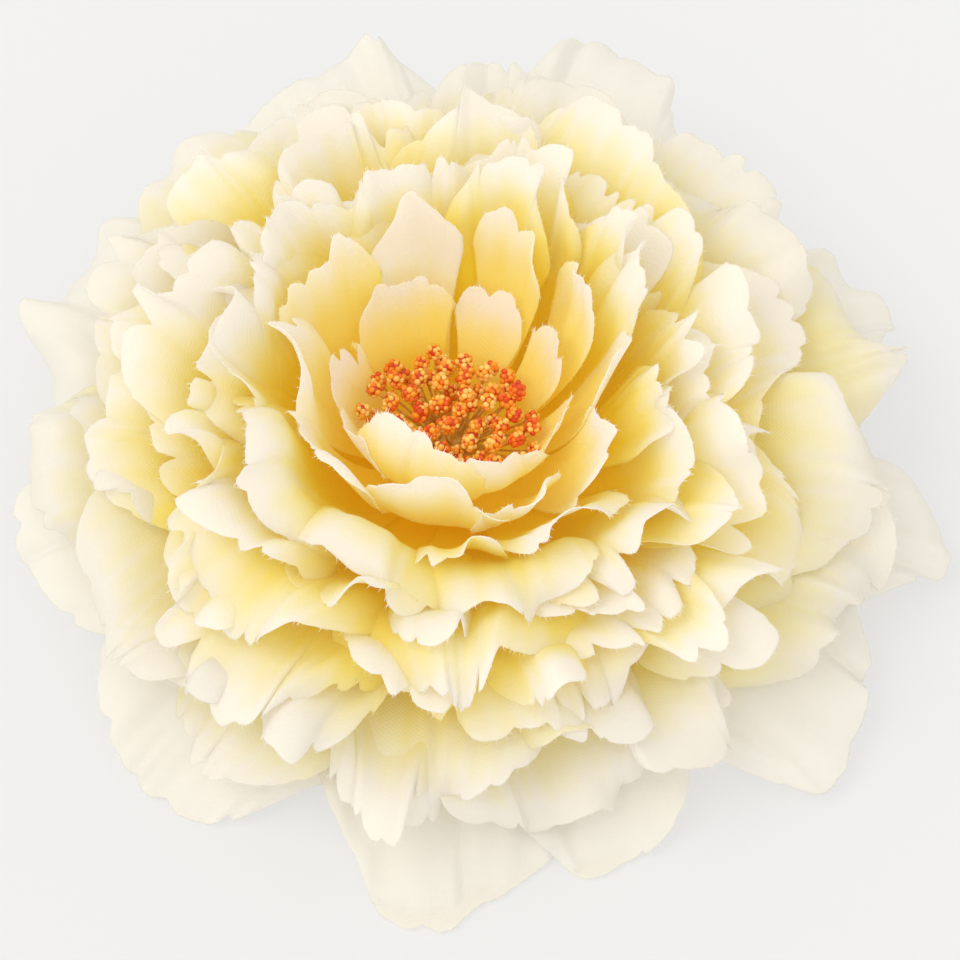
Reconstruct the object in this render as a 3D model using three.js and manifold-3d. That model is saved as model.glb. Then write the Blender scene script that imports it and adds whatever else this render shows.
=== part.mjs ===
// A full-blown fabric peony, the head alone, lying face up. Eight die-cut layers of silk petals
// are threaded on a moulded post, over a green calyx cup with five sepals and under a dome of
// beaded stamens. Millimetres, +Z up, front towards -Y. The origin is the middle of the calyx's
// flat foot, and the outer petals' tips lie on the same surface as that foot.
import * as THREE from "three";
import { mergeVertices } from "three/addons/utils/BufferGeometryUtils.js";
import Module from "manifold-3d";

const wasm = await Module();
wasm.setup();

// The stack of petal layers on the post. A hub is the small disc that joins a layer's petals.
const LAYER_COUNT = 8;
const LOWEST_HUB_Z = 14;
const HUB_PITCH = 1.25;
const HUB_THICKNESS = 0.8;
const INNER_HUB_R = 5.5;
const HUB_STEP_R = 0.95;
const HUB_SIDES = 18;
const GAP = 0.3;

// The post goes through every hub, and its head keeps them on.
const POST_R = 1.8;
const POST_FOOT_Z = 5;
const POST_HEAD_R = 3.2;
const POST_HEAD_THICKNESS = 1.1;
const POST_SIDES = 14;

// The petals are sheets of this thickness, and their roots go this far into the hub.
const BLADE_THICKNESS = 0.6;
const ROOT_SINK = 1.5;

// How far an arc keeps its first and its last slope, as shares of its chord.
const ROOT_REACH = 0.4;
const TIP_REACH = 0.35;

// How a petal widens from its claw, how its corners are rounded, how deep its lobes are, how its
// lap over the next petal grows, from where its lip bends and how much of the roll is full.
const SPREAD_BEND = 1.15;
const CORNER_BEND = 2.6;
const LOBE_REACH = 0.04;
const LAP_GROWTH = 1.5;
const LIP_FROM = 0.62;
const ROLL_KEPT = 0.8;

// A blade has one column for each of these widths in mm, and rows at these shares of its height.
const COLUMN_STEP = 9;
const FEWEST_COLUMNS = 3;
const MOST_COLUMNS = 6;
const ROWS_UP = [0, 0.36, 0.64, 0.85, 1];
const ROWS_UP_INNER = [0, 0.45, 0.8, 1];
const INNER_LAYERS = 2;

// Ruffles that pass on from layer to layer, so that the layers nest: how often each goes round the
// bloom, and how its phase moves on. Folds begin low on a petal, waves higher. The wander makes
// them unequal.
const FOLD = { count: 3, phase: 0.7, step: 0.6, from: 1.4 };
const WAVE = { count: 9, phase: 2.1, step: 0.55, from: 2 };
const WANDERS = [
  { height: 1.3, count: 2, phase: 1.1, step: 0.2 },
  { height: 0.9, count: 5, phase: 0, step: 0.4 },
];

// A petal's own ruffle swings out and sideways like a meander, and grows towards the rim. Each
// range gives the least and the most that a petal may have. Narrow petals ruffle less.
const OWN_WAVES = [0.8, 1.7];
const OWN_HEIGHT = [1.8, 2.9];
const OWN_FULL_WIDTH = 36;
const OWN_SIDEWAYS = 0.07;
const OWN_GROWTH = 3;
const OWN_OPENING = 1.5;
const OWN_LOBES = [3, 5.5];
const OWN_UNEVEN = 0.5;
const OWN_UNEVEN_COUNT = 2.3;

// Every petal follows its layer's arc, from the hub to the tip, and is cut to its own length.
// tip: radius and height of an average tip. rise: the arc's slope at the root and at the tip.
// lean: by how many degrees the layer opens wider, and towards which azimuth.
// ruffle: heights of the fold and the wave. claw: width at the root against the widest. round: how
// far the corners are cut back. widest: the share of the arc from which the width is full. lively:
// how much the petals ruffle by themselves. petals: azimuth in degrees, length as a share of the
// arc, width in mm, outward bend of the lip in mm, twist in mm, which lifts one side edge and lowers
// the other, angle and length in mm of the rim's outward roll, opening in degrees, above 0 for a
// more upright petal, and how lively the petal is beside its layer.
const LAYERS = [
  {
    name: "petals_8_guard", tip: [67, 16], rise: [-3, -14], lean: [15, -80], ruffle: [1.6, 0.6],
    claw: 0.14, round: 0.34, widest: 0.62, lively: 0.5,
    petals: [
      [-90, 1.05, 42, 0, 1.5, 0.3, 5, 0, 0.8], [-64, 1, 34, 0, 1.5, 0.3, 5, 0, 0.8],
      [-32, 1.1, 44, 0, 1.5, 0.4, 5, 0, 1], [-5, 1.15, 46, 1, 1.5, 0.6, 6, 0, 1],
      [26, 1.1, 46, 0, 1.5, 0.4, 6, 0, 1], [69, 1.19, 48, 1, 1.5, 0.5, 6, 0, 0.8],
      [108, 1.1, 48, 1, 1.5, 0.6, 6, 0, 0.8], [149, 1.11, 56, 0, 1.5, 1.1, 12, -1, 0.2],
      [-167, 0.96, 46, 1, 1.5, 0.6, 6, 0, 1], [-136, 0.99, 50, 1, 1.5, 0.3, 6, 0, 0.8],
    ],
  },
  {
    name: "petals_7", tip: [62, 27], rise: [0, 10], lean: [12, -80], ruffle: [1.8, 1],
    claw: 0.14, round: 0.34, widest: 0.7, lively: 0.8,
    petals: [
      [-72, 0.93, 46, 3, 1.5, 1.2, 6, 0, 1.2], [-20, 1.08, 46, 2, 1.5, 1.2, 6, 0, 1],
      [16, 1.13, 42, 1, 1.5, 1, 7, 0, 0.8], [48, 1.08, 46, 1, 1.5, 0.8, 7, 0, 0.5],
      [86, 1.06, 44, 2, 1.5, 0.9, 6, 0, 0.8], [128, 1.07, 50, 1, 1.5, 1.2, 9, 0, 0.4],
      [-178, 1, 46, 3, 1.5, 1.3, 6, 0, 1], [-127, 0.92, 44, 2, 1.5, 0.5, 7, -2, 0.9],
    ],
  },
  {
    name: "petals_6", tip: [56.5, 35], rise: [1.4, 25], lean: [10, -76], ruffle: [1.8, 1.2],
    claw: 0.14, round: 0.32, widest: 0.74, lively: 1,
    petals: [
      [-94, 0.95, 40, 4, 1.5, 1.3, 6, 0, 1.3], [-56, 0.99, 40, 3, 1.5, 1.2, 5, 0, 1.2],
      [-8, 1.09, 44, 2, -1.5, 1.1, 7, 0, 0.8], [34, 1.05, 46, 2, 1.5, 0.7, 8, 0, 0.4],
      [76, 1.06, 42, 2, 1.5, 0.6, 6, 0, 0.6], [116, 1.03, 40, 3, 1.5, 0.8, 6, -1.8, 0.4],
      [158, 1.02, 44, 3, 1.5, 1, 7, 0, 1], [-147, 1, 48, 4, 1.5, 1.3, 7, 0, 1.2],
    ],
  },
  {
    name: "petals_5", tip: [50, 42], rise: [3, 40], lean: [8.5, -66], ruffle: [1.8, 1.2],
    claw: 0.14, round: 0.3, widest: 0.78, lively: 1,
    petals: [
      [-68, 0.9, 40, 5, 1.5, 1.2, 6, 1.5, 1.3], [-26, 0.99, 38, 3, 1.5, 1.2, 6, 0, 1],
      [14, 0.98, 44, 2, 1.5, 0.8, 8, -2, 0.5], [58, 1.06, 44, 2, 1.5, 0.5, 6, -1, 0.4],
      [100, 1.02, 34, 3, 1.5, 0.6, 6, 0, 0.6], [138, 1.05, 38, 3, -2, 0.9, 6, 1.5, 0.7],
      [176, 1, 40, 4, 1.5, 1, 7, 0, 0.8], [-131, 0.97, 44, 5, 1.5, 1.7, 8, 4, 1.3],
    ],
  },
  {
    name: "petals_4", tip: [42.5, 47.5], rise: [3.4, 54], lean: [7.5, -54], ruffle: [1.5, 1.2],
    claw: 0.15, round: 0.28, widest: 0.78, lively: 1.1,
    petals: [
      [-87, 0.97, 44, 3, 1.5, 2, 8, 4, 1.2], [-50, 0.94, 30, 3, 1.5, 0.8, 4, 0, 1.2],
      [-18, 0.97, 28, 2, -3, 0.5, 4, 2, 1.2], [12, 0.99, 30, 2, 3, 0.5, 4, 0, 1],
      [44, 0.97, 34, 2, 1.5, 0.6, 5, 0, 0.6], [84, 1.03, 32, 3, 2, 0.4, 5, 0, 0.7],
      [122, 1, 34, 3, -2, 0.7, 5, 0, 1], [160, 1.02, 34, 4, 2, 1, 6, 2, 1],
      [-134, 0.98, 38, 5, 1.5, 1.9, 8, 7, 1.2],
    ],
  },
  {
    name: "petals_3", tip: [33.5, 51], rise: [6.4, 71], lean: [6.5, -46], ruffle: [1, 1],
    claw: 0.16, round: 0.26, widest: 0.78, lively: 1.1,
    petals: [
      [-110, 0.93, 30, 3, 1, 1.8, 7, 8, 0.8], [-76, 0.93, 30, 3, 1, 1.9, 7, 7, 1],
      [-46, 0.96, 26, 3, 1, 1.3, 5, 0, 1], [-18, 0.96, 20, 1, -4, 0.3, 4, 2, 1],
      [10, 0.94, 20, 0, 4, 0.2, 4, 0, 1], [38, 1, 18, 0, 4, 0.2, 4, 0, 0.8],
      [68, 1.02, 22, 1, 2, 0.3, 4, 0, 0.8], [102, 1, 26, 2, -2, 0.4, 4, 0, 0.8],
      [138, 1.03, 26, 2, 2, 0.6, 5, 0, 0.7], [172, 0.98, 26, 3, 2, 1.4, 6, 5, 0.8],
      [-148, 0.97, 28, 3, 1, 1.9, 7, 8, 0.8],
    ],
  },
  {
    name: "petals_2", tip: [24.5, 51.5], rise: [8.4, 88], lean: [2, -40], ruffle: [0.7, 0.7],
    claw: 0.2, round: 0.26, widest: 0.78, lively: 0.8,
    petals: [
      [-98, 0.96, 24, 0, 0.8, 0.3, 3, 5, 0.7], [-62, 0.86, 18, 0, -1.5, 0.2, 3, 4, 1],
      [-30, 0.92, 18, 0, -4, 0.2, 3, 0, 1], [2, 0.92, 16, 0, 4, 0.1, 3, 0, 0.8],
      [32, 0.98, 15, 0, 4, 0.1, 3, 2, 0.7], [64, 1, 14, 0, 4, 0.1, 3, 2, 0.7],
      [104, 1.14, 15, -2, 1, 0.1, 3, 0, 0.4], [142, 1.04, 18, 1, 2, 0.3, 3, 2, 0.7],
      [178, 0.96, 18, 1, 1, 0.8, 4, 5.5, 1], [-140, 0.92, 20, 1, 0.8, 1, 4, 6, 1],
    ],
  },
  {
    name: "petals_1_inner", tip: [17, 45], rise: [22, 104], lean: [-4, -90], ruffle: [0.3, 0.3],
    claw: 0.24, round: 0.3, widest: 0.7, lively: 0.3,
    petals: [
      [-112, 1.12, 22, -1, 2, 0.1, 3, 2, 0.6], [-66, 0.94, 18, -1, 1.5, 0.1, 3, 2, 1],
      [-12, 0.78, 12, 0, 1.5, 0.1, 3, -1, 1], [28, 0.86, 12, 0, 1.5, 0.1, 3, -1, 1],
      [68, 0.8, 13, 0, 0.5, 0.1, 3, 0, 1], [117, 0.93, 18, 0, 0.5, 0.1, 3, 0, 1],
      [164, 0.8, 14, 0, 0.5, 0.1, 3, 0, 1], [-152, 0.8, 14, 0, 0.5, 0.1, 3, 2, 1],
    ],
  },
];

// The stamens: filaments that fan out of a disc on the post, each with an anther at its end.
const ANTHER_COUNT = 42;
const ANTHER_R = 1.35;
const ANTHER_STRETCH = 1.3;
const FILAMENT_R = 0.45;
const STAMEN_RING_R = 12.2;
const STAMEN_TOP_Z = 36;
const STAMEN_DOME_DROP = 1.4;
const STAMEN_UNEVEN = 1;
const STAMEN_DISC_R = 4.4;
const STAMEN_DISC_THICKNESS = 1.4;
const STAMEN_DISC_SIDES = 14;
const STAMEN_SPREAD_AT_DISC = 0.27;
const STAMEN_STRETCH = [1.12, 0.93];
const STAMEN_SKEW = 0.1;
const FILAMENT_SIDES = 3;
const FILAMENT_SINK = 0.6;
const ANTHER_TILT = 0.7;
const GOLDEN_ANGLE = Math.PI * (3 - Math.sqrt(5));

// The calyx: a cup on a flat foot, with a socket for the post and five sepals round its rim.
const CALYX_FOOT_R = 8;
const CALYX_WAIST_R = 6.2;
const CALYX_WAIST_Z = 3.4;
const CALYX_RIM_R = 11.5;
const CALYX_TOP_Z = 13.2;
const CALYX_FOOT_EDGE = 1;
const CALYX_TOP_EDGE = 0.8;
const CALYX_BELLY = [[7.6, 6.5], [10, 9.6]];
const CALYX_SIDES = 18;
const SEPAL_COUNT = 5;
const SEPAL_LENGTH = 20;
const SEPAL_WIDTH = 12.5;
const SEPAL_THICKNESS = 0.9;
const SEPAL_ROOT = [8.5, 10.8];
const SEPAL_FALL_TOWARDS = -80;
const SEPAL_FALL_FRONT = 24;
const SEPAL_FALL_BACK = 2;
const SEPAL_TIP_DROOP = 1.5;
const SEPAL_FIRST_AZIMUTH = -54;
const SEPAL_CORNER = 0.12;
const SEPAL_TAPER = 2.6;
const SEPAL_TIP_HALF = 0.5;
const SEPAL_CUP = 0.6;
const SEPAL_COLUMNS = 4;
const SEPAL_ROWS_UP = [0, 0.4, 0.8, 1];

const SILK = { color: 0xfbf1d0, roughness: 0.75, metalness: 0 };
const GREEN_PLASTIC = { color: 0x5f7f3a, roughness: 0.5, metalness: 0 };
const AMBER_BEAD = { color: 0xf08a24, roughness: 0.35, metalness: 0 };

const radians = THREE.MathUtils.degToRad;
const mix = (a, b, share) => a + (b - a) * share;

// A fixed random share from 0 to 1, so that every build is the same.
function draw(...seeds) {
  const folded = seeds.reduce((sum, seed, i) => sum + seed * (127.1 + 183.6 * i), 11.3);
  const noise = Math.sin(folded) * 43758.5453;
  return noise - Math.floor(noise);
}

// The layer's arc in its half-plane at one azimuth: a cubic curve from the hub to the tip, with
// the unit vector that points outwards and down from it.
function arcAt(layer, opening, azimuth, share) {
  const [wider, towards] = layer.lean.map(radians);
  const lean = opening - wider * Math.cos(azimuth - towards);
  const rootR = layer.hubR - ROOT_SINK;
  const chord = layer.chord;
  const heading = Math.atan2(layer.tip[1] - layer.z, layer.tip[0] - rootR) + lean;
  const start = radians(layer.rise[0]) + lean / 2;
  const end = radians(layer.rise[1]) + lean;
  const tipR = rootR + chord * Math.cos(heading);
  const tipZ = layer.z + chord * Math.sin(heading);
  const corners = [
    [rootR, layer.z],
    [rootR + ROOT_REACH * chord * Math.cos(start), layer.z + ROOT_REACH * chord * Math.sin(start)],
    [tipR - TIP_REACH * chord * Math.cos(end), tipZ - TIP_REACH * chord * Math.sin(end)],
    [tipR, tipZ],
  ];
  const rest = 1 - share;
  const weights = [rest ** 3, 3 * rest ** 2 * share, 3 * rest * share ** 2, share ** 3];
  const slopes = [
    -3 * rest ** 2, 3 * rest ** 2 - 6 * rest * share, 6 * rest * share - 3 * share ** 2,
    3 * share ** 2,
  ];
  const sum = (by, axis) => corners.reduce((total, corner, i) => total + by[i] * corner[axis], 0);
  const [alongR, alongZ] = [sum(slopes, 0), sum(slopes, 1)];
  const speed = Math.hypot(alongR, alongZ);
  return { r: sum(weights, 0), z: sum(weights, 1), outR: alongZ / speed, outZ: -alongR / speed };
}

// How far a layer's sheet stands off its arc.
function ruffleAt(layer, azimuth, share) {
  const wander = WANDERS.reduce((sum, kind) => {
    const angle = kind.count * azimuth + kind.phase + kind.step * layer.number;
    return sum + kind.height * Math.sin(angle);
  }, 0);
  return [FOLD, WAVE].reduce((sum, kind, i) => {
    const angle = kind.count * azimuth + kind.phase + kind.step * layer.number;
    return sum + layer.ruffle[i] * Math.max(0, share) ** kind.from * Math.sin(angle + wander);
  }, 0);
}

// A point of a petal's middle surface: up from 0 at the hub to 1 at the rim, across from -1 to 1.
function petalPoint(layer, petal, up, across) {
  const corner = layer.round * Math.abs(across) ** CORNER_BEND;
  const lobes = LOBE_REACH * Math.sin(petal.lobes * across + petal.turned);
  const share = up * petal.length * (1 - corner + lobes);
  const grown = Math.max(0, share);
  const spread = mix(layer.claw, 1, Math.min(1, grown / layer.widest) ** SPREAD_BEND);
  const middle = arcAt(layer, petal.opening, petal.azimuth, share);
  const uneven = OWN_UNEVEN * Math.sin(OWN_UNEVEN_COUNT * across + petal.turn);
  const swing = Math.PI * petal.waves * across + petal.turn + uneven;
  const sideways = petal.sideways * grown ** OWN_GROWTH * Math.sin(2 * swing);
  const azimuth = petal.azimuth + ((across * petal.width * spread) / 2 - sideways) / middle.r;
  const size = layer.chord * petal.length;
  const into = Math.max(0, 1 - ((1 - up) * size) / petal.rollLength);
  const radius = petal.rollLength / petal.roll;
  const rolledBack = petal.rollLength * into - radius * Math.sin(petal.roll * into);
  const at = share - rolledBack / layer.chord;
  const arc = arcAt(layer, petal.opening, azimuth, at);
  const lap = petal.twist * grown ** LAP_GROWTH * across;
  const lip = petal.lip * Math.max(0, (up - LIP_FROM) / (1 - LIP_FROM)) ** 2 * (1 - across ** 2);
  const own = petal.height * grown ** OWN_GROWTH * Math.sin(swing);
  const rolledOut = radius * (1 - Math.cos(petal.roll * into));
  const out = ruffleAt(layer, azimuth, at) + lap + lip + own + rolledOut;
  const r = arc.r + out * arc.outR;
  const z = Math.max(arc.z + out * arc.outZ, BLADE_THICKNESS / 2);
  return new THREE.Vector3(r * Math.cos(azimuth), r * Math.sin(azimuth), z);
}

// A closed blade from a middle surface, with its two faces split into triangles alike.
function blade(pointAt, columns, rowsUp, thickness) {
  const positions = [];
  const nudge = 1e-3;
  const rows = rowsUp.length - 1;
  for (const side of [0.5, -0.5])
    for (let j = 0; j <= rows; j++)
      for (let i = 0; i <= columns; i++) {
        const up = rowsUp[j];
        const across = (2 * i) / columns - 1;
        const at = pointAt(up, across);
        const [lower, upper] = [Math.max(0, up - nudge), Math.min(1, up + nudge)];
        const [left, right] = [Math.max(-1, across - nudge), Math.min(1, across + nudge)];
        const alongUp = pointAt(upper, across).sub(pointAt(lower, across));
        const alongAcross = pointAt(up, right).sub(pointAt(up, left));
        const normal = alongAcross.cross(alongUp).normalize();
        at.addScaledVector(normal, side * thickness);
        positions.push(at.x, at.y, Math.max(at.z, side > 0 ? 0 : at.z));
      }
  const index = [];
  const row = columns + 1;
  const face = (rows + 1) * row;
  const cell = (a, b, c, d) => index.push(a, b, c, a, c, d);
  for (let j = 0; j < rows; j++)
    for (let i = 0; i < columns; i++) {
      const a = j * row + i;
      index.push(a, a + 1, a + row + 1, a, a + row + 1, a + row);
      const b = face + a;
      index.push(b, b + row + 1, b + 1, b, b + row, b + row + 1);
    }
  for (let i = 0; i < columns; i++) {
    const top = rows * row + i;
    cell(i + 1, i, face + i, face + i + 1);
    cell(top, top + 1, face + top + 1, face + top);
  }
  for (let j = 0; j < rows; j++) {
    const left = j * row;
    const right = left + columns;
    cell(left, left + row, face + left + row, face + left);
    cell(right + row, right, face + right, face + right + row);
  }
  return solid(positions, index);
}

function solid(positions, index) {
  return new wasm.Manifold(
    new wasm.Mesh({
      numProp: 3,
      vertProperties: new Float32Array(positions),
      triVerts: new Uint32Array(index),
    }),
  );
}

function solidOf(geometry) {
  geometry.deleteAttribute("normal");
  geometry.deleteAttribute("uv");
  const merged = mergeVertices(geometry, 1e-4);
  return solid(merged.attributes.position.array, merged.index.array);
}

// A solid turned round the Z axis from a closed profile of radius and height.
function turned(profile, sides) {
  const points = profile.map(([r, z]) => new THREE.Vector2(r, z));
  const geometry = new THREE.LatheGeometry(points, sides);
  return solidOf(geometry.rotateX(Math.PI / 2));
}

// Several solids fused into one body. A hollow that the fusing seals is filled.
function joined(solids) {
  const whole = solids.reduce((sum, piece) => sum.add(piece));
  return whole.decompose().reduce((most, body) => (body.volume() > most.volume() ? body : most));
}

// A rod with flat ends between two points.
function rod(from, to, radius, sides) {
  const along = new THREE.Vector3().subVectors(to, from);
  const geometry = new THREE.CylinderGeometry(radius, radius, along.length(), sides);
  const up = new THREE.Vector3(0, 1, 0);
  geometry.applyQuaternion(new THREE.Quaternion().setFromUnitVectors(up, along.normalize()));
  const middle = new THREE.Vector3().addVectors(from, to).multiplyScalar(0.5);
  return solidOf(geometry.translate(middle.x, middle.y, middle.z));
}

function meshOf(name, body, look) {
  const made = body.getMesh();
  const geometry = new THREE.BufferGeometry();
  geometry.setAttribute("position", new THREE.BufferAttribute(made.vertProperties, 3));
  geometry.setIndex(new THREE.BufferAttribute(made.triVerts, 1));
  geometry.computeVertexNormals();
  const mesh = new THREE.Mesh(geometry, new THREE.MeshStandardMaterial(look));
  mesh.name = name;
  return mesh;
}

// One die-cut layer: its petals, joined by a small disc with a hole for the post.
function petalLayer(layer) {
  const holeR = POST_R + GAP;
  const half = HUB_THICKNESS / 2;
  const hub = turned(
    [
      [holeR, layer.z - half], [layer.hubR, layer.z - half],
      [layer.hubR, layer.z + half], [holeR, layer.z + half], [holeR, layer.z - half],
    ],
    HUB_SIDES,
  );
  const rowsUp = layer.number < LAYER_COUNT - INNER_LAYERS ? ROWS_UP : ROWS_UP_INNER;
  const petals = layer.petals.map((values, i) => {
    const [azimuth, length, width, lip, twist, roll, rollLength, opening, lively] = values;
    const waves = mix(...OWN_WAVES, draw(layer.number, i, 3));
    const shown = lively * layer.lively * Math.min(1, width / OWN_FULL_WIDTH);
    const height = shown * mix(...OWN_HEIGHT, draw(layer.number, i, 5));
    const petal = {
      azimuth: radians(azimuth),
      length,
      width,
      lip,
      twist,
      roll: roll * ROLL_KEPT,
      rollLength,
      opening: radians(opening + mix(-OWN_OPENING, OWN_OPENING, draw(layer.number, i, 6))),
      lobes: mix(...OWN_LOBES, draw(layer.number, i, 1)),
      turned: 2 * Math.PI * draw(layer.number, i, 2),
      waves,
      turn: 2 * Math.PI * draw(layer.number, i, 4),
      height,
      sideways: (lively * layer.lively * OWN_SIDEWAYS * width) / waves,
    };
    const wanted = Math.round(width / COLUMN_STEP);
    const columns = Math.min(MOST_COLUMNS, Math.max(FEWEST_COLUMNS, wanted));
    const pointAt = (up, across) => petalPoint(layer, petal, up, across);
    return blade(pointAt, columns, rowsUp, BLADE_THICKNESS);
  });
  return joined([hub, ...petals]);
}

const topHubZ = LOWEST_HUB_Z + HUB_PITCH * (LAYER_COUNT - 1) + HUB_THICKNESS / 2;
const headZ = topHubZ + GAP;
const headTopZ = headZ + POST_HEAD_THICKNESS;

function corePost() {
  return turned(
    [
      [0, POST_FOOT_Z], [POST_R, POST_FOOT_Z], [POST_R, headZ], [POST_HEAD_R, headZ],
      [POST_HEAD_R, headTopZ], [0, headTopZ],
    ],
    POST_SIDES,
  );
}

// Filaments fan out from the disc, and their anthers stand on a low uneven dome, wider than deep.
function stamens() {
  const discZ = headTopZ + GAP;
  const discTopZ = discZ + STAMEN_DISC_THICKNESS;
  const pieces = [
    turned(
      [[0, discZ], [STAMEN_DISC_R, discZ], [STAMEN_DISC_R, discTopZ], [0, discTopZ]],
      STAMEN_DISC_SIDES,
    ),
  ];
  for (let i = 0; i < ANTHER_COUNT; i++) {
    const azimuth = i * GOLDEN_ANGLE;
    const share = Math.sqrt((i + 0.5) / ANTHER_COUNT);
    const r = STAMEN_RING_R * share;
    const uneven = STAMEN_UNEVEN * mix(-1, 1, draw(i, 7));
    const z = STAMEN_TOP_Z - STAMEN_DOME_DROP * share ** 2 + uneven - ANTHER_R * ANTHER_STRETCH;
    const x = STAMEN_STRETCH[0] * r * Math.cos(azimuth);
    const y = STAMEN_STRETCH[1] * r * Math.sin(azimuth) - STAMEN_SKEW * x;
    const tip = new THREE.Vector3(x, y, z);
    const root = tip.clone().multiplyScalar(STAMEN_SPREAD_AT_DISC).setZ(discTopZ - FILAMENT_SINK);
    pieces.push(rod(root, tip, FILAMENT_R, FILAMENT_SIDES));
    const anther = new THREE.IcosahedronGeometry(ANTHER_R, 0).scale(1, 1, ANTHER_STRETCH);
    anther.rotateX(mix(-ANTHER_TILT, ANTHER_TILT, draw(i, 8))).rotateZ(2 * Math.PI * draw(i, 9));
    pieces.push(solidOf(anther.translate(tip.x, tip.y, tip.z)));
  }
  return joined(pieces);
}

// A point of a sepal's middle surface: it hangs lower at the front, where the petals droop too.
function sepalPoint(azimuth, up, across) {
  const towardsFront = (1 + Math.cos(azimuth - radians(SEPAL_FALL_TOWARDS))) / 2;
  const fall = radians(mix(SEPAL_FALL_BACK, SEPAL_FALL_FRONT, towardsFront));
  const along = SEPAL_LENGTH * up * (1 - SEPAL_CORNER * across ** 2);
  const half = (SEPAL_WIDTH / 2) * Math.sqrt(1 - up ** SEPAL_TAPER) + SEPAL_TIP_HALF;
  const r = SEPAL_ROOT[0] + along * Math.cos(fall);
  const bend = SEPAL_CUP * across ** 2 - SEPAL_TIP_DROOP * up ** 3;
  const z = SEPAL_ROOT[1] - along * Math.sin(fall) + bend;
  const side = across * half;
  return new THREE.Vector3(
    r * Math.cos(azimuth) - side * Math.sin(azimuth),
    r * Math.sin(azimuth) + side * Math.cos(azimuth),
    z,
  );
}

function calyx() {
  const socketR = POST_R + GAP;
  const cup = turned(
    [
      [0, 0], [CALYX_FOOT_R, 0], [CALYX_FOOT_R, CALYX_FOOT_EDGE], [CALYX_WAIST_R, CALYX_WAIST_Z],
      ...CALYX_BELLY, [CALYX_RIM_R, CALYX_TOP_Z - CALYX_TOP_EDGE],
      [CALYX_RIM_R - CALYX_TOP_EDGE, CALYX_TOP_Z],
      [socketR, CALYX_TOP_Z], [socketR, POST_FOOT_Z - GAP], [0, POST_FOOT_Z - GAP],
    ],
    CALYX_SIDES,
  );
  const sepals = Array.from({ length: SEPAL_COUNT }, (_, i) => {
    const azimuth = radians(SEPAL_FIRST_AZIMUTH + (360 / SEPAL_COUNT) * i);
    const pointAt = (up, across) => sepalPoint(azimuth, up, across);
    return blade(pointAt, SEPAL_COLUMNS, SEPAL_ROWS_UP, SEPAL_THICKNESS);
  });
  return joined([cup, ...sepals]);
}

const peony = new THREE.Group();
LAYERS.forEach((layer, i) => {
  layer.number = i;
  layer.hubR = INNER_HUB_R + HUB_STEP_R * (LAYER_COUNT - 1 - i);
  layer.z = LOWEST_HUB_Z + HUB_PITCH * i;
  layer.chord = Math.hypot(layer.tip[0] - layer.hubR + ROOT_SINK, layer.tip[1] - layer.z);
  peony.add(meshOf(layer.name, petalLayer(layer), SILK));
});
peony.add(meshOf("stamens", stamens(), AMBER_BEAD));
peony.add(meshOf("core_post", corePost(), GREEN_PLASTIC));
peony.add(meshOf("calyx", calyx(), GREEN_PLASTIC));

export default peony;
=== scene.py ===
# %% [markdown]
# # A fabric peony, the head alone
# The flower is made as a milliner makes it: eight layers of die-cut silk petals, dyed gold at the
# root and left cream at the rim, are pressed over warm tools, threaded on a post and closed in
# the middle by a tuft of beaded stamens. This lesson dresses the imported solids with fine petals,
# cloth, beads and threads. Lengths are in millimetres until a mesh is made, then in metres.

# %% Load the fixed frame and note its box
import math

import bpy
import numpy as np
from mathutils import Matrix, Vector


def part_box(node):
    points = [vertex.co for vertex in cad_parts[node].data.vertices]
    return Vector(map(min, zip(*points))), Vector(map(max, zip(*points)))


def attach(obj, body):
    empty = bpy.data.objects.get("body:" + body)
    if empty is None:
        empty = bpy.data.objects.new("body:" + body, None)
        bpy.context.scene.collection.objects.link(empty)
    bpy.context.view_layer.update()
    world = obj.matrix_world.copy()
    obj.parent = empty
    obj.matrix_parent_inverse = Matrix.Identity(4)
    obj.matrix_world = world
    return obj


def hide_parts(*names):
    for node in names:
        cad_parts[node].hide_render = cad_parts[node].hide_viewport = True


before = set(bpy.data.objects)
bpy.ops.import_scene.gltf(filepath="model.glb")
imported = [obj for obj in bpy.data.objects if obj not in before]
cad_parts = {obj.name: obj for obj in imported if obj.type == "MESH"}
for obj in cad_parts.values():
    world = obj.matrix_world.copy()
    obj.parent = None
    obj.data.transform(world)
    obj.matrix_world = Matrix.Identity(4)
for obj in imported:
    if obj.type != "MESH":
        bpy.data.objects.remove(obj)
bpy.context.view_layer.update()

MM = 0.001
print("layers, stamens, post and calyx:", sorted(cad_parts))

# %% [markdown]
# ## Two small helpers for chance
# Hand work is never quite regular. Each petal gets its own seeded generator, so the flower comes
# out the same on every run. A sum of a few waves in random directions gives soft crumples, the way
# cloth bulges where it isn't held.

# %% Blend, a fixed random share, and soft random waves
def mix(a, b, share):
    return a + (b - a) * share


def draw(*seeds):
    """A fixed random share from 0 to 1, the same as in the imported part."""
    folded = sum(seed * (127.1 + 183.6 * place) for place, seed in enumerate(seeds)) + 11.3
    noise = math.sin(folded) * 43758.5453
    return noise - math.floor(noise)


def soft_waves(rng, x, y, lengths, each=3):
    total = 0
    for length in lengths:
        for _ in range(each):
            turn, start = rng.uniform(0, math.pi), rng.uniform(0, 2 * math.pi)
            step = 2 * math.pi / (length * rng.uniform(0.8, 1.25))
            total = total + np.sin(step * (x * math.cos(turn) + y * math.sin(turn)) + start)
    return total / math.sqrt(each * len(lengths))


# %% [markdown]
# ## The layers
# A layer's petals all follow one arc from the hub to the tip. The bloom opens wider at the front,
# so the arc leans with the azimuth. Each petal is cut to its own length and width, its lip turns
# outwards by its own amount, and one side edge is lifted over its neighbour.

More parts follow.
